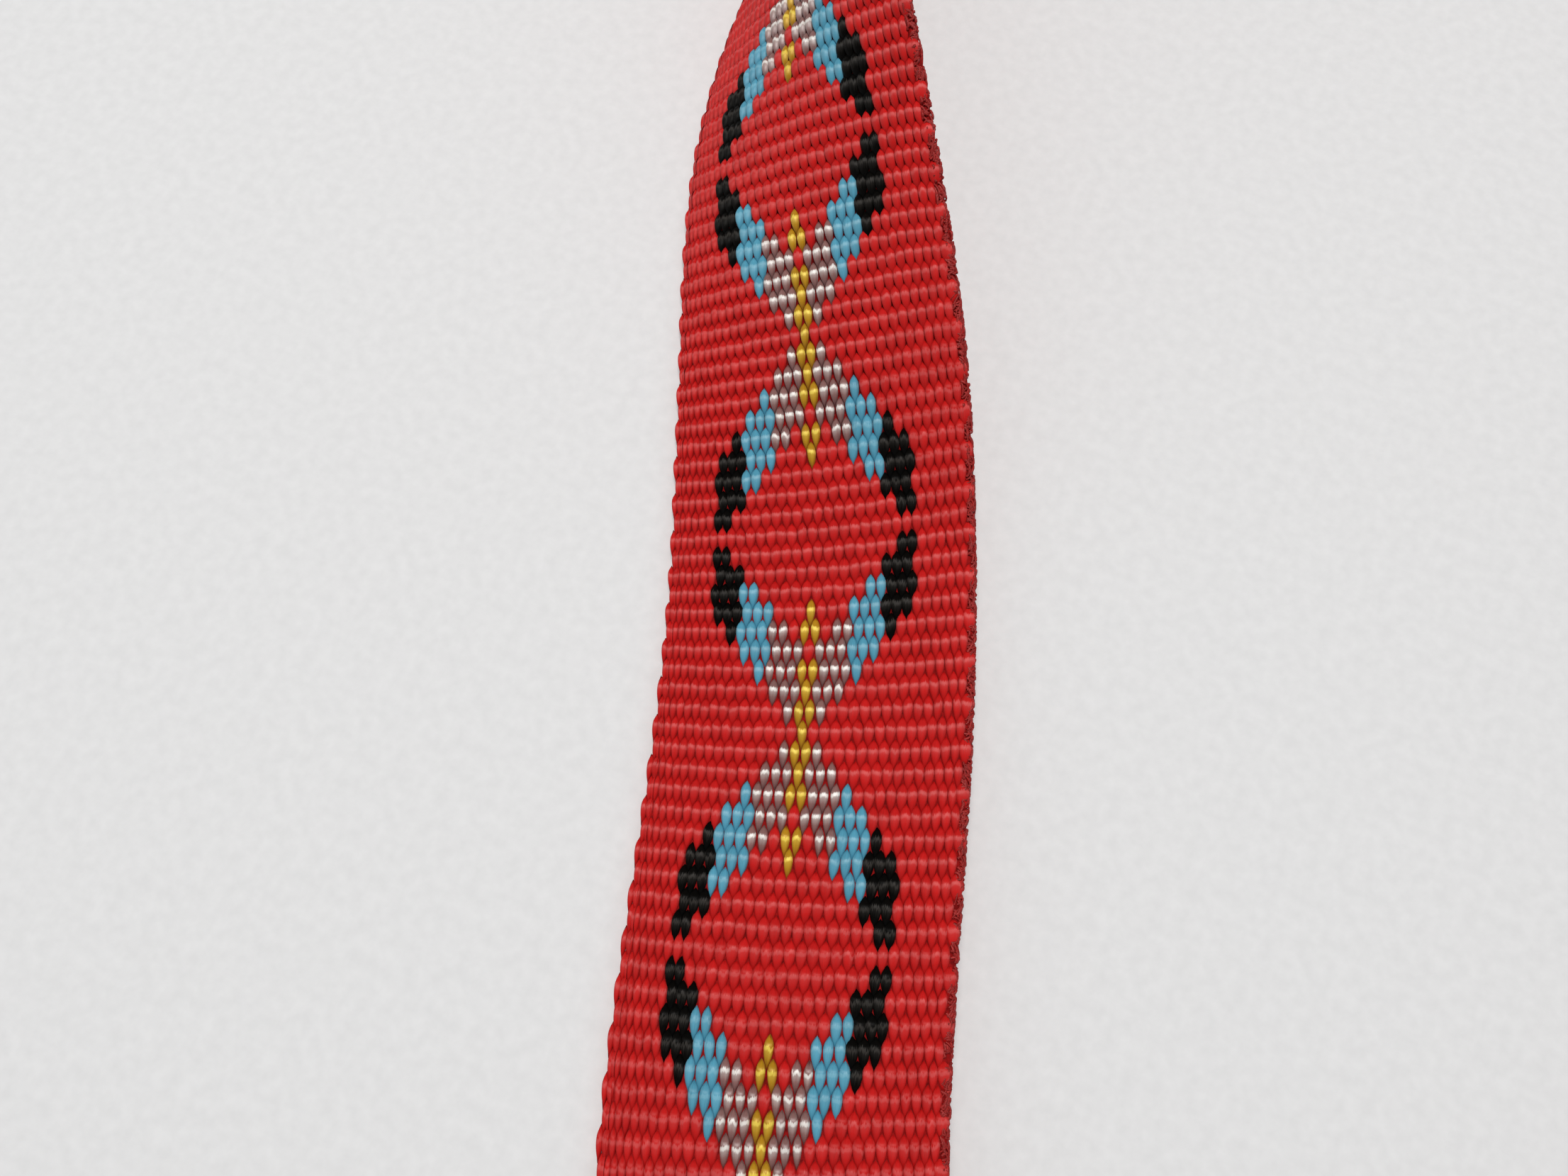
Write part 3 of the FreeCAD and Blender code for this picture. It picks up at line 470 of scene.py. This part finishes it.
def merge(pieces):
    """Joins (points, quads, slots, coordinates, numbers) tuples."""
    points, quads, slots, coordinates, numbers = zip(*pieces)
    offsets = np.cumsum([0] + [len(part) for part in points[:-1]])
    quads = [part + offset for part, offset in zip(quads, offsets)]
    return [np.concatenate(part) for part in (points, quads, slots, coordinates, numbers)]


# ---------------------------------------------------------------- materials


class Graph:
    """Short calls for building a material's nodes."""

    def __init__(self, name):
        self.material = bpy.data.materials.new(name)
        self.material.use_nodes = True
        self.tree = self.material.node_tree
        self.shader = self.tree.nodes["Principled BSDF"]

    def node(self, kind, settings=None, **inputs):
        made = self.tree.nodes.new("ShaderNode" + kind)
        for key, value in (settings or {}).items():
            setattr(made, key, value)
        for key, value in inputs.items():
            numbered = key[0] == "i" and key[1:].isdigit()
            self.plug(made.inputs[int(key[1:]) if numbered else key.replace("_", " ")], value)
        return made

    def plug(self, socket, value):
        if isinstance(value, bpy.types.NodeSocket):
            self.tree.links.new(value, socket)
        else:
            socket.default_value = value

    def math(self, operation, a, b=0.0):
        return self.node("Math", {"operation": operation}, i0=a, i1=b).outputs[0]

    def ramp(self, value, stops):
        made = self.node("ValToRGB", None, i0=value)
        elements = made.color_ramp.elements
        while len(elements) < len(stops):
            elements.new(0.5)
        for element, (position, colour) in zip(elements, stops):
            element.position = position
            element.color = tuple(colour) + (1.0,) if len(colour) == 3 else colour
        return made.outputs[0]

    def multiply(self, a, b):
        made = self.node("Mix", {"data_type": "RGBA", "blend_type": "MULTIPLY"}, i0=1.0)
        self.plug(made.inputs[6], a)
        self.plug(made.inputs[7], b)
        return made.outputs[2]

    def noise(self, place, scale, detail, **more):
        made = self.node("TexNoise", None, Vector=place, Scale=scale, Detail=detail, **more)
        return made.outputs[0]

    def surface(self, **values):
        for key, value in values.items():
            self.plug(self.shader.inputs[key.replace("_", " ")], value)

    def bump(self, strength, distance, height):
        made = self.node("Bump", None, Strength=strength, Distance=distance, Height=height)
        self.surface(Normal=made.outputs[0])


# How far the painted highlight band across each yarn's crest wanders along the yarn.
PAINTED_HIGHLIGHT_WAVINESS = 0.30


def grey(value):
    return (value, value, value)


def yarn_place(g):
    """Where a shading point lies across and along its yarn, and the yarn's random number."""
    place = g.node("UVMap", {"uv_map": "yarn"}).outputs[0]
    parts = g.node("SeparateXYZ", None, i0=place)
    number = g.node("Attribute", {"attribute_name": "number"}).outputs["Fac"]
    return parts.outputs[0], parts.outputs[1], number


def yarn_material(name, ends, body, painted_highlight, roughness, specular, tint, painted_highlight_raggedness):
    """Filament yarn: streaks along the grain, ends darkened as painted shade, and a ragged paler band over
    the crest that is a painted highlight.
    """
    g = Graph(name)
    across, along, number = yarn_place(g)
    streak_place = g.node(
        "CombineXYZ", None,
        X=g.math("ADD", g.math("MULTIPLY", across, 15.0), g.math("MULTIPLY", along, 2.2)),
        Y=g.math("MULTIPLY", along, 1.1),
        Z=g.math("MULTIPLY", number, 57.0),
    ).outputs[0]
    streaks = g.noise(streak_place, 1.0, 3.0, Roughness=0.65)
    wave_place = g.node(
        "CombineXYZ", None,
        X=g.math("MULTIPLY", across, 2.2),
        Z=g.math("MULTIPLY", number, 91.0),
    ).outputs[0]
    waves = g.noise(wave_place, 1.0, 1.0)
    ragged = g.math("MULTIPLY", g.math("SUBTRACT", streaks, 0.5), painted_highlight_raggedness)
    wavy = g.math("MULTIPLY", g.math("SUBTRACT", waves, 0.5), PAINTED_HIGHLIGHT_WAVINESS)
    broken = g.math("ADD", along, g.math("ADD", ragged, wavy))
    # The colour runs from darkened ends, painted shade where the yarn dives under its neighbours, over the
    # body to a paler band at the crest, a painted highlight that fades into the body below it.
    after = tuple(0.7 * low + 0.3 * high for low, high in zip(body, painted_highlight))
    colour = g.ramp(broken, (
        (0.0, ends), (0.12, body), (CREST_AT - 0.07, body), (CREST_AT - 0.03, painted_highlight),
        (CREST_AT + 0.04, painted_highlight), (CREST_AT + 0.09, after), (0.66, body), (0.95, ends),
    ))
    shade = g.ramp(streaks, ((0.30, grey(0.80)), (0.5, grey(0.97)), (0.75, grey(1.0))))
    colour = g.multiply(colour, shade)
    colour = g.multiply(colour, g.ramp(number, ((0.0, grey(0.88)), (1.0, grey(1.0)))))
    tangent = g.node("Tangent", {"direction_type": "UV_MAP", "uv_map": "yarn"}).outputs[0]
    g.surface(
        Base_Color=colour, Roughness=roughness, Specular_IOR_Level=specular, Specular_Tint=tint,
        Anisotropic=0.95, Tangent=tangent,
    )
    g.bump(0.5, 0.00004, g.math("ADD", streaks, g.math("MULTIPLY", waves, 0.5)))
    return g.material


# Each yarn's colour at its ends (darkened as painted shade where the yarn dives under its neighbours; on
# the white and yellow yarns also the red beneath showing through), over its body and in the painted
# highlight band over its crest, then its roughness, specular level, specular tint and how ragged the
# painted highlight band is. In the order of RED to YELLOW.
WHITE_TINT, GOLD_TINT, PINK_TINT = (1.0, 1.0, 1.0, 1.0), (1.0, 0.78, 0.30, 1.0), (1.0, 0.62, 0.60, 1.0)
YARN_LOOKS = (
    ("yarn_red", (0.40, 0.006, 0.006), (0.60, 0.012, 0.011), (0.68, 0.075, 0.072),
     0.44, 0.3, PINK_TINT, 0.22),
    ("yarn_white", (0.11, 0.030, 0.028), (0.27, 0.125, 0.11), (0.92, 0.86, 0.80),
     0.40, 1.0, WHITE_TINT, 0.20),
    ("yarn_blue", (0.06, 0.26, 0.38), (0.095, 0.36, 0.50), (0.19, 0.47, 0.60),
     0.44, 0.4, WHITE_TINT, 0.18),
    ("yarn_black", (0.003, 0.003, 0.003), (0.003, 0.0025, 0.002), (0.040, 0.036, 0.032),
     0.40, 0.05, WHITE_TINT, 0.5),
    ("yarn_yellow", (0.24, 0.085, 0.005), (0.50, 0.25, 0.010), (0.92, 0.68, 0.10),
     0.38, 1.0, GOLD_TINT, 0.20),
)


def core_material():
    """The red inside of the webbing that shows in the slits between the yarns, coloured darker than the
    yarns as painted shade for the slits.
    """
    g = Graph("webbing_core")
    threads = g.noise(g.node("TexCoord").outputs["Object"], 2600.0, 3.0)
    # Darker than the red yarns: painted shade for the slits between them.
    colour = g.ramp(threads, ((0.3, (0.12, 0.002, 0.002)), (0.7, (0.34, 0.006, 0.006))))
    g.surface(Base_Color=colour, Roughness=0.8, Specular_IOR_Level=0.1)
    g.bump(0.5, 0.00008, threads)
    return g.material


def thread_material(name, dark, light):
    """Thin multifilament thread with a twist."""
    g = Graph(name)
    across, along, number = yarn_place(g)
    ply_place = g.node(
        "CombineXYZ", None,
        X=g.math("ADD", g.math("MULTIPLY", across, 3.0), g.math("MULTIPLY", along, 5.0)),
        Y=g.math("MULTIPLY", along, 0.8),
        Z=number,
    ).outputs[0]
    plies = g.noise(ply_place, 3.0, 3.0)
    roughness = g.math("ADD", g.math("MULTIPLY", plies, 0.2), 0.35)
    colour = g.ramp(plies, ((0.3, dark), (0.7, light)))
    g.surface(Base_Color=colour, Roughness=roughness, Specular_IOR_Level=0.25)
    g.bump(0.6, 0.00005, plies)
    return g.material


def plated_material(name, tone, scratch_scale):
    """Nickel plating with fine handling scratches, small pits and a warm cast in patches."""
    g = Graph(name)
    place = g.node("TexCoord").outputs["Object"]
    stretch = (scratch_scale, scratch_scale * 0.08, scratch_scale)
    long_place = g.node("Mapping", None, Vector=place, Scale=stretch).outputs[0]
    scratches = g.noise(long_place, 1.0, 5.0, Roughness=0.7)
    clouds = g.noise(place, 160.0, 4.0)
    pits = g.node("TexVoronoi", None, Vector=place, Scale=1500.0).outputs[0]
    warm = tuple(value * factor for value, factor in zip(tone, (0.94, 0.86, 0.74)))
    wear = g.math("ADD", g.math("MULTIPLY", scratches, 0.16), g.math("MULTIPLY", clouds, 0.18))
    g.surface(
        Base_Color=g.ramp(clouds, ((0.35, tone), (0.75, warm))),
        Metallic=1.0,
        Roughness=g.math("ADD", wear, 0.11),
    )
    pit_height = g.math("MULTIPLY", g.math("MINIMUM", g.math("MULTIPLY", pits, 6.0), 1.0), 0.12)
    g.bump(0.25, 0.00005, g.math("ADD", g.math("MULTIPLY", scratches, 0.5), pit_height))
    return g.material


def turned_material():
    """Turned steel with a fine grain and slightly dull patches."""
    g = Graph("turned_steel")
    place = g.node("TexCoord").outputs["Object"]
    fine = g.noise(place, 5200.0, 2.0)
    clouds = g.noise(place, 420.0, 3.0)
    g.surface(
        Base_Color=g.ramp(clouds, ((0.3, (0.36, 0.36, 0.37)), (0.7, (0.58, 0.57, 0.56)))),
        Metallic=1.0,
        Roughness=g.math("ADD", g.math("MULTIPLY", clouds, 0.2), 0.22),
    )
    g.bump(0.3, 0.00004, fine)
    return g.material


def floor_material():
    """Pale matt paper with a barely visible grain."""
    g = Graph("pale_floor")
    fibres = g.noise(g.node("TexCoord").outputs["Object"], 900.0, 4.0)
    g.surface(Base_Color=g.ramp(fibres, ((0.3, grey(0.74)), (0.7, grey(0.79)))), Roughness=0.9)
    g.bump(0.12, 0.0001, fibres)
    return g.material


# ---------------------------------------------------------------- webbing pieces

# Steps along and across a grain, and along and round a thread, in the photograph's view and elsewhere.
FINE, COARSE = (12, 6), (5, 4)
FINE_TUBE, COARSE_TUBE = (7, 5), (3, 3)
CORE_HALF_WIDTH = 12.28
CORE_SIDES = 10
CORE_STEP = 1.6


def core_piece(name, path, material, low, high):
    """The body of the webbing between two distances: a flat tube with rounded edges and closed ends."""
    count = max(int((high - low) / CORE_STEP), 6)
    distance = np.linspace(low, high, count + 1)
    corner = CORE_HALF_THICKNESS
    turn = np.linspace(-math.pi / 2, math.pi / 2, CORE_SIDES // 2 + 1)
    right = [(CORE_HALF_WIDTH - corner + corner * math.cos(a), corner * math.sin(a)) for a in turn]
    section = np.array(right + [(-x, y) for x, y in reversed(right)])
    rows, columns = len(distance), len(section)
    grid = np.repeat(distance[:, None], columns, 1)
    sideways = section[None, :, 0] + 0 * grid
    height = section[None, :, 1] + 0 * grid
    points = on_strap(path, grid, sideways, height).reshape(-1, 3)
    quads = grid_quads(rows, columns)
    ends = []
    for base in (0, (rows - 1) * columns):
        for index in range(columns // 2 - 1):
            pair = [index, index + 1, columns - 2 - index, columns - 1 - index]
            ends.append([base + number for number in (pair if base == 0 else pair[::-1])])
    quads = np.concatenate([quads, np.array(ends)])
    return add_mesh(name, points, quads, [material], smooth=False)


BEAD_BULGES = (0.52, 0.46)
BEAD_SEAT, BEAD_HALF_HEIGHT = 0.56, 0.58
BEAD_NUMBER_STEP = 0.381


def edge_beads(path, rows, half, steps):
    """The outer edge's round scallops, one for each row, as grains that wrap the edge."""
    rows = np.array(rows)
    t, turn = grain_stations(steps)
    width, crest = grain_profile(t)
    lean = np.array([weft_shift(row, -WIDTH / 2) for row in rows])
    distance = half - ROW_ZERO_FROM_TOP + rows * ROW_PITCH + lean
    bulge = np.where(rows % 2, BEAD_BULGES[1], BEAD_BULGES[0])[:, None, None]
    along = distance[:, None, None] + GRAIN_LENGTH * (CREST_AT - t)[None, :, None] + 0 * turn
    out = bulge * crest[None, :, None] * np.cos(turn)[None, None, :] + 0 * along
    rise = BEAD_HALF_HEIGHT * width[None, :, None] * np.sin(turn)[None, None, :] + 0 * along
    points = on_strap(path, on_path(path, along), -(WIDTH / 2 - BEAD_SEAT + out), rise)
    quads = grain_quads(len(rows), steps, BEAD_ORDER)
    number = np.repeat((rows * BEAD_NUMBER_STEP) % 1, len(t) * len(turn))
    slots = np.full(len(quads), RED)
    return points.reshape(-1, 3), quads, slots, grain_coordinates(len(rows), t, turn), number


FILAMENTS_PER_ROW = 10
FILAMENT_START, FILAMENT_REACH = 0.5, 0.75
FILAMENT_ROOTS, FILAMENT_SPREAD = (11.7, 12.2), (0.1, 0.6)
FILAMENT_LIFT, FILAMENT_RADIUS = (0.02, 0.16), (0.06, 0.125)
FILAMENT_WANDER = 0.12
KNIT_TOP, KNIT_FALL, KNIT_FALLS_FROM, KNIT_FALLS_OVER = 0.34, 0.36, 11.9, 0.7
SELVEDGE_SLOT = 5


def selvedge(path, rows, half, segments, sides):
    """The knitted inner edge: untidy short loops of thread on both faces and over the edge."""
    generator = np.random.default_rng(len(rows) + int(abs(rows[0])))
    count = len(rows) * FILAMENTS_PER_ROW
    shape = (count, 1)
    starts = half - ROW_ZERO_FROM_TOP + np.repeat(np.array(rows), FILAMENTS_PER_ROW) * ROW_PITCH
    flat = 0 * starts
    p = np.linspace(0, 1, segments + 1)[None, :]
    pieces = []
    for face in (1, -1):
        jitter = generator.uniform(-FILAMENT_START, FILAMENT_START, shape) * ROW_PITCH
        start = starts[:, None] + jitter
        reach = generator.uniform(-FILAMENT_REACH, FILAMENT_REACH, shape) * ROW_PITCH
        out_low = generator.uniform(*FILAMENT_ROOTS, shape)
        out_high = np.minimum(out_low + generator.uniform(*FILAMENT_SPREAD, shape), WIDTH / 2 - 0.1)
        along = start + reach * (p - 0.5) + FILAMENT_WANDER * np.sin(math.pi * 2 * p + start)
        out = out_low + (out_high - out_low) * np.sin(math.pi * p)
        lift = generator.uniform(*FILAMENT_LIFT, shape)
        rest = KNIT_TOP - KNIT_FALL * ease((out - KNIT_FALLS_FROM) / KNIT_FALLS_OVER)
        height = face * (rest + lift * np.sin(math.pi * p))
        curves = on_strap(path, on_path(path, along), out, height)
        up = on_strap(path, starts, flat, flat + 1) - on_strap(path, starts, flat, flat)
        radius = generator.uniform(*FILAMENT_RADIUS, count)
        points, quads, coordinates = tubes(curves, radius, sides, up[:, None, :])
        numbers = np.repeat(generator.random(count), (segments + 1) * sides)
        slots = np.full(len(quads), SELVEDGE_SLOT)
        pieces.append((points, quads, slots, coordinates, numbers))
    return merge(pieces)


WEAVE_SEED = 7


def webbing_piece(name, path, rows, half, side, steps, materials, edges):
    """One stretch of one face: its grains and, on the front, the beads and the knitted edge."""
    seed = int(abs(rows[0])) + WEAVE_SEED
    parts = [weave_mesh(path, grains(rows, half, side), side, steps, seed)]
    if edges:
        parts.append(edge_beads(path, rows, half, steps))
        parts.append(selvedge(path, rows, half, *(FINE_TUBE if steps == FINE else COARSE_TUBE)))
    points, quads, slots, coordinates, numbers = merge(parts)
    return add_mesh(name, points, quads, materials, slots, coordinates, numbers)


def rows_between(low, high, half):
    """The rows whose middles lie from low up to, but not at, high."""
    row_zero = half - ROW_ZERO_FROM_TOP
    return list(range(math.ceil((low - row_zero) / ROW_PITCH), math.ceil((high - row_zero) / ROW_PITCH)))


def chunks(rows, size):
    return [rows[start:start + size] for start in range(0, len(rows), size)]


# The rows that the camera sees close by, and how many rows one piece holds at most.
VIEW_ROWS = (-38, 52)
FINE_CHUNK, COARSE_CHUNK, BACK_CHUNK = 30, 100, 130
BODY_OF = {"neck": "strap", "bight": "hook_loop", "fold": "slider"}
NODE_OF = {
    "neck": "neck_webbing",
    "lower": "lower_webbing",
    "bight": "hook_bight",
    "return": "return_webbing",
    "fold": "slider_fold",
}


def piece_name(stretch, face, row):
    return "%s_%s_%s%d" % (stretch, face, "m" if row < 0 else "", abs(row))


def build_webbing(ends, path, half):
    materials = [yarn_material(*looks) for looks in YARN_LOOKS]
    materials.append(thread_material("selvedge_thread", (0.09, 0.002, 0.002), (0.50, 0.030, 0.025)))
    core = core_material()
    made = []
    for stretch, (low, high) in ends.items():
        rows = rows_between(low, high, half)
        body = core_piece(stretch + "_core", path, core, low, high)
        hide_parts(NODE_OF[stretch])
        made.append((stretch, body))
        in_view = [row for row in rows if stretch == "neck" and VIEW_ROWS[0] <= row < VIEW_ROWS[1]]
        others = [row for row in rows if row not in in_view]
        before = [row for row in others if in_view and row < VIEW_ROWS[0]]
        after = [row for row in others if row not in before]
        groups = [(group, FINE) for group in chunks(in_view, FINE_CHUNK)]
        groups += [(group, COARSE) for part in (before, after) for group in chunks(part, COARSE_CHUNK)]
        for group, steps in groups:
            label = piece_name(stretch, "front", group[0])
            made.append((stretch, webbing_piece(label, path, group, half, 1, steps, materials, True)))
        for part in chunks(rows, BACK_CHUNK):
            label = piece_name(stretch, "back", part[0])
            made.append((stretch, webbing_piece(label, path, part, half, -1, COARSE, materials, False)))
    return made


def bind_webbing(made):
    """Neck, bight and fold move with their bodies; the return stretch moves with the slider on a mesh of
    its own, and the lower stretch is fixed in place in the frame.
    """
    for stretch, piece in made:
        if stretch == "lower":
            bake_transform(piece)
        elif stretch == "return":
            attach(piece, "slider")
            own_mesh(piece)
        else:
            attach(piece, BODY_OF[stretch])


# ---------------------------------------------------------------- sewing

STITCH_LENGTH = 2.5
STITCH_GAP = 0.35
SEAM_INSET = 3.0
STITCH_POINTS, STITCH_SIDES, STITCH_RADIUS = 9, 8, 0.24
STITCH_DIP, STITCH_RISE, STITCH_FLATNESS = 0.28, 0.42, 0.45


def seam_lines(low, high):
    """A box and its two diagonals."""
    x = WIDTH / 2 - SEAM_INSET
    low, high = low + SEAM_INSET, high - SEAM_INSET
    corners = [(-x, low), (x, low), (x, high), (-x, high)]
    lines = [(corners[index], corners[(index + 1) % 4]) for index in range(4)]
    return lines + [(corners[0], corners[2]), (corners[1], corners[3])]


def stitches(name, low, high, z, material):
    """A sewn box with a cross: single stitches that dip into the weave at both ends."""
    curves = []
    p = np.linspace(0, 1, STITCH_POINTS)
    for start, end in seam_lines(low, high):
        start, end = np.array(start), np.array(end)
        length = np.linalg.norm(end - start)
        count = max(int(round(length / STITCH_LENGTH)), 1)
        direction = (end - start) / count
        for index in range(count):
            middle = start + direction * (index + 0.5)
            reach = direction * (1 - STITCH_GAP / STITCH_LENGTH)
            flat = middle[None, :] + (p - 0.5)[:, None] * reach[None, :]
            rise = z - STITCH_DIP + STITCH_RISE * np.sin(math.pi * p) ** STITCH_FLATNESS
            curves.append(np.column_stack([flat, rise]))
    curves = np.array(curves)
    radius = np.full(len(curves), STITCH_RADIUS)
    points, quads, coordinates = tubes(curves, radius, STITCH_SIDES, np.array([0.0, 0.0, 1.0]))
    numbers = np.repeat(np.linspace(0, 1, len(curves)), STITCH_POINTS * STITCH_SIDES)
    return add_mesh(name, points, quads, [material], None, coordinates, numbers)


def build_sewing():
    material = thread_material("sewing_thread", (0.10, 0.004, 0.006), (0.42, 0.03, 0.03))
    join_top = 2 * THICKNESS + LAP_GAP
    join = stitches("join_stitches", LAP_START_Y, LAP_START_Y + LAP, join_top, material)
    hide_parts("join_stitching")
    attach(join, "strap")
    tail_top = span("tail_stitching", 2)[0]
    tail = stitches("tail_stitches", SLIDER_Y - TAIL_LENGTH, SLIDER_Y - FOLD_DROP_RUN, tail_top, material)
    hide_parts("tail_stitching")
    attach(tail, "slider")


# ---------------------------------------------------------------- hardware


def paint_hardware():
    plated = plated_material("nickel_plate", (0.74, 0.72, 0.68), 900.0)
    cast = plated_material("nickel_cast", (0.70, 0.68, 0.64), 500.0)
    steel = turned_material()
    finishes = {
        "slider_frame": plated, "slider_bar": plated, "swivel_eye": cast, "hook_body": cast, "gate": plated,
        "swivel_rivet": steel, "swivel_washer": steel, "gate_pin": steel, "gate_spring": steel,
    }
    for node, material in finishes.items():
        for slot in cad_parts[node].material_slots:
            slot.material = material


# ---------------------------------------------------------------- stage

CAMERA_HEIGHT = 0.0826
CAMERA_BACK, CAMERA_ASIDE = 0.00985, 0.00093
CAMERA_TILT, CAMERA_ROLL, CAMERA_HEADING = 14.95, -0.22, 24.87
FIELD_OF_VIEW = 75.0
FLOOR_HALF_SIZE, FLOOR_DROP = 3.0, 0.0002
WORLD_COLOUR, WORLD_STRENGTH = (0.93, 0.95, 1.0, 1.0), 0.30

# Each lamp's name, diameter, watts, place beside the camera's focus, height and colour.
LAMPS = (
    ("key_light", 0.34, 5.5, (-0.10, 0.16), 0.85, (1.0, 0.985, 0.96)),
    ("fill_light", 1.6, 1.2, (0.9, -0.7), 1.2, (0.96, 0.98, 1.0)),
)


def build_floor():
    size = FLOOR_HALF_SIZE
    points = np.array([(-size, -size, 0), (size, -size, 0), (size, size, 0), (-size, size, 0)]) / MM
    floor = add_mesh("floor", points, np.array([[0, 1, 2, 3]]), [floor_material()], smooth=False)
    floor.location.z = -FLOOR_DROP


def add_area(name, size, energy, at, target, colour):
    data = bpy.data.lights.new(name, "AREA")
    data.shape = "DISK"
    data.size = size
    data.energy = energy
    data.color = colour
    lamp = bpy.data.objects.new(name, data)
    lamp.location = at
    lamp.rotation_euler = (Vector(target) - Vector(at)).to_track_quat("-Z", "Y").to_euler()
    bpy.context.scene.collection.objects.link(lamp)


def build_lights(focus):
    x, y = focus
    for name, size, energy, aside, height, colour in LAMPS:
        add_area(name, size, energy, (x + aside[0], y + aside[1], height), (x, y, 0.0), colour)
    world = bpy.data.worlds.new("studio")
    world.use_nodes = True
    background = world.node_tree.nodes["Background"]
    background.inputs["Color"].default_value = WORLD_COLOUR
    background.inputs["Strength"].default_value = WORLD_STRENGTH
    bpy.context.scene.world = world


def build_camera(path, half):
    """Looks down on the left leg, nearly square to it, where it starts to turn onto its edge."""
    at, centre = path[0], path[1]
    distance = half - ROW_ZERO_FROM_TOP
    sway = SWAY * math.cos(math.pi * (ROW_ZERO_FROM_TOP - SWAY_FROM_TOP) / SWAY_HALF_LENGTH / 2) ** 2
    right = Vector((math.cos(SPREAD), math.sin(SPREAD), 0))
    onward = Vector((-math.sin(SPREAD), math.cos(SPREAD), 0))
    x, y = (np.interp(distance, at, centre[:, axis]) * MM for axis in (0, 1))
    row_zero = Vector((x, y, 0)) - right * sway * MM
    data = bpy.data.cameras.new("camera")
    data.sensor_fit = "HORIZONTAL"
    data.angle = math.radians(FIELD_OF_VIEW)
    data.clip_start = 0.005
    camera = bpy.data.objects.new("camera", data)
    bpy.context.scene.collection.objects.link(camera)
    place = row_zero - onward * CAMERA_BACK + right * CAMERA_ASIDE + Vector((0, 0, CAMERA_HEIGHT))
    turn = Matrix.Rotation(math.radians(CAMERA_HEADING), 4, "Z")
    turn = turn @ Matrix.Rotation(math.radians(CAMERA_TILT), 4, "X")
    turn = turn @ Matrix.Rotation(math.radians(CAMERA_ROLL), 4, "Z")
    camera.matrix_world = Matrix.Translation(place) @ turn
    bpy.context.scene.camera = camera
    return row_zero


# ---------------------------------------------------------------- the whole

bpy.context.scene.view_settings.view_transform = "Standard"
stretch_ends, strap, half_loop = strap_path()
bind_webbing(build_webbing(stretch_ends, strap, half_loop))
build_sewing()
paint_hardware()
build_floor()
focus = build_camera(strap, half_loop)
build_lights((focus.x, focus.y))

bpy.context.view_layer.update()
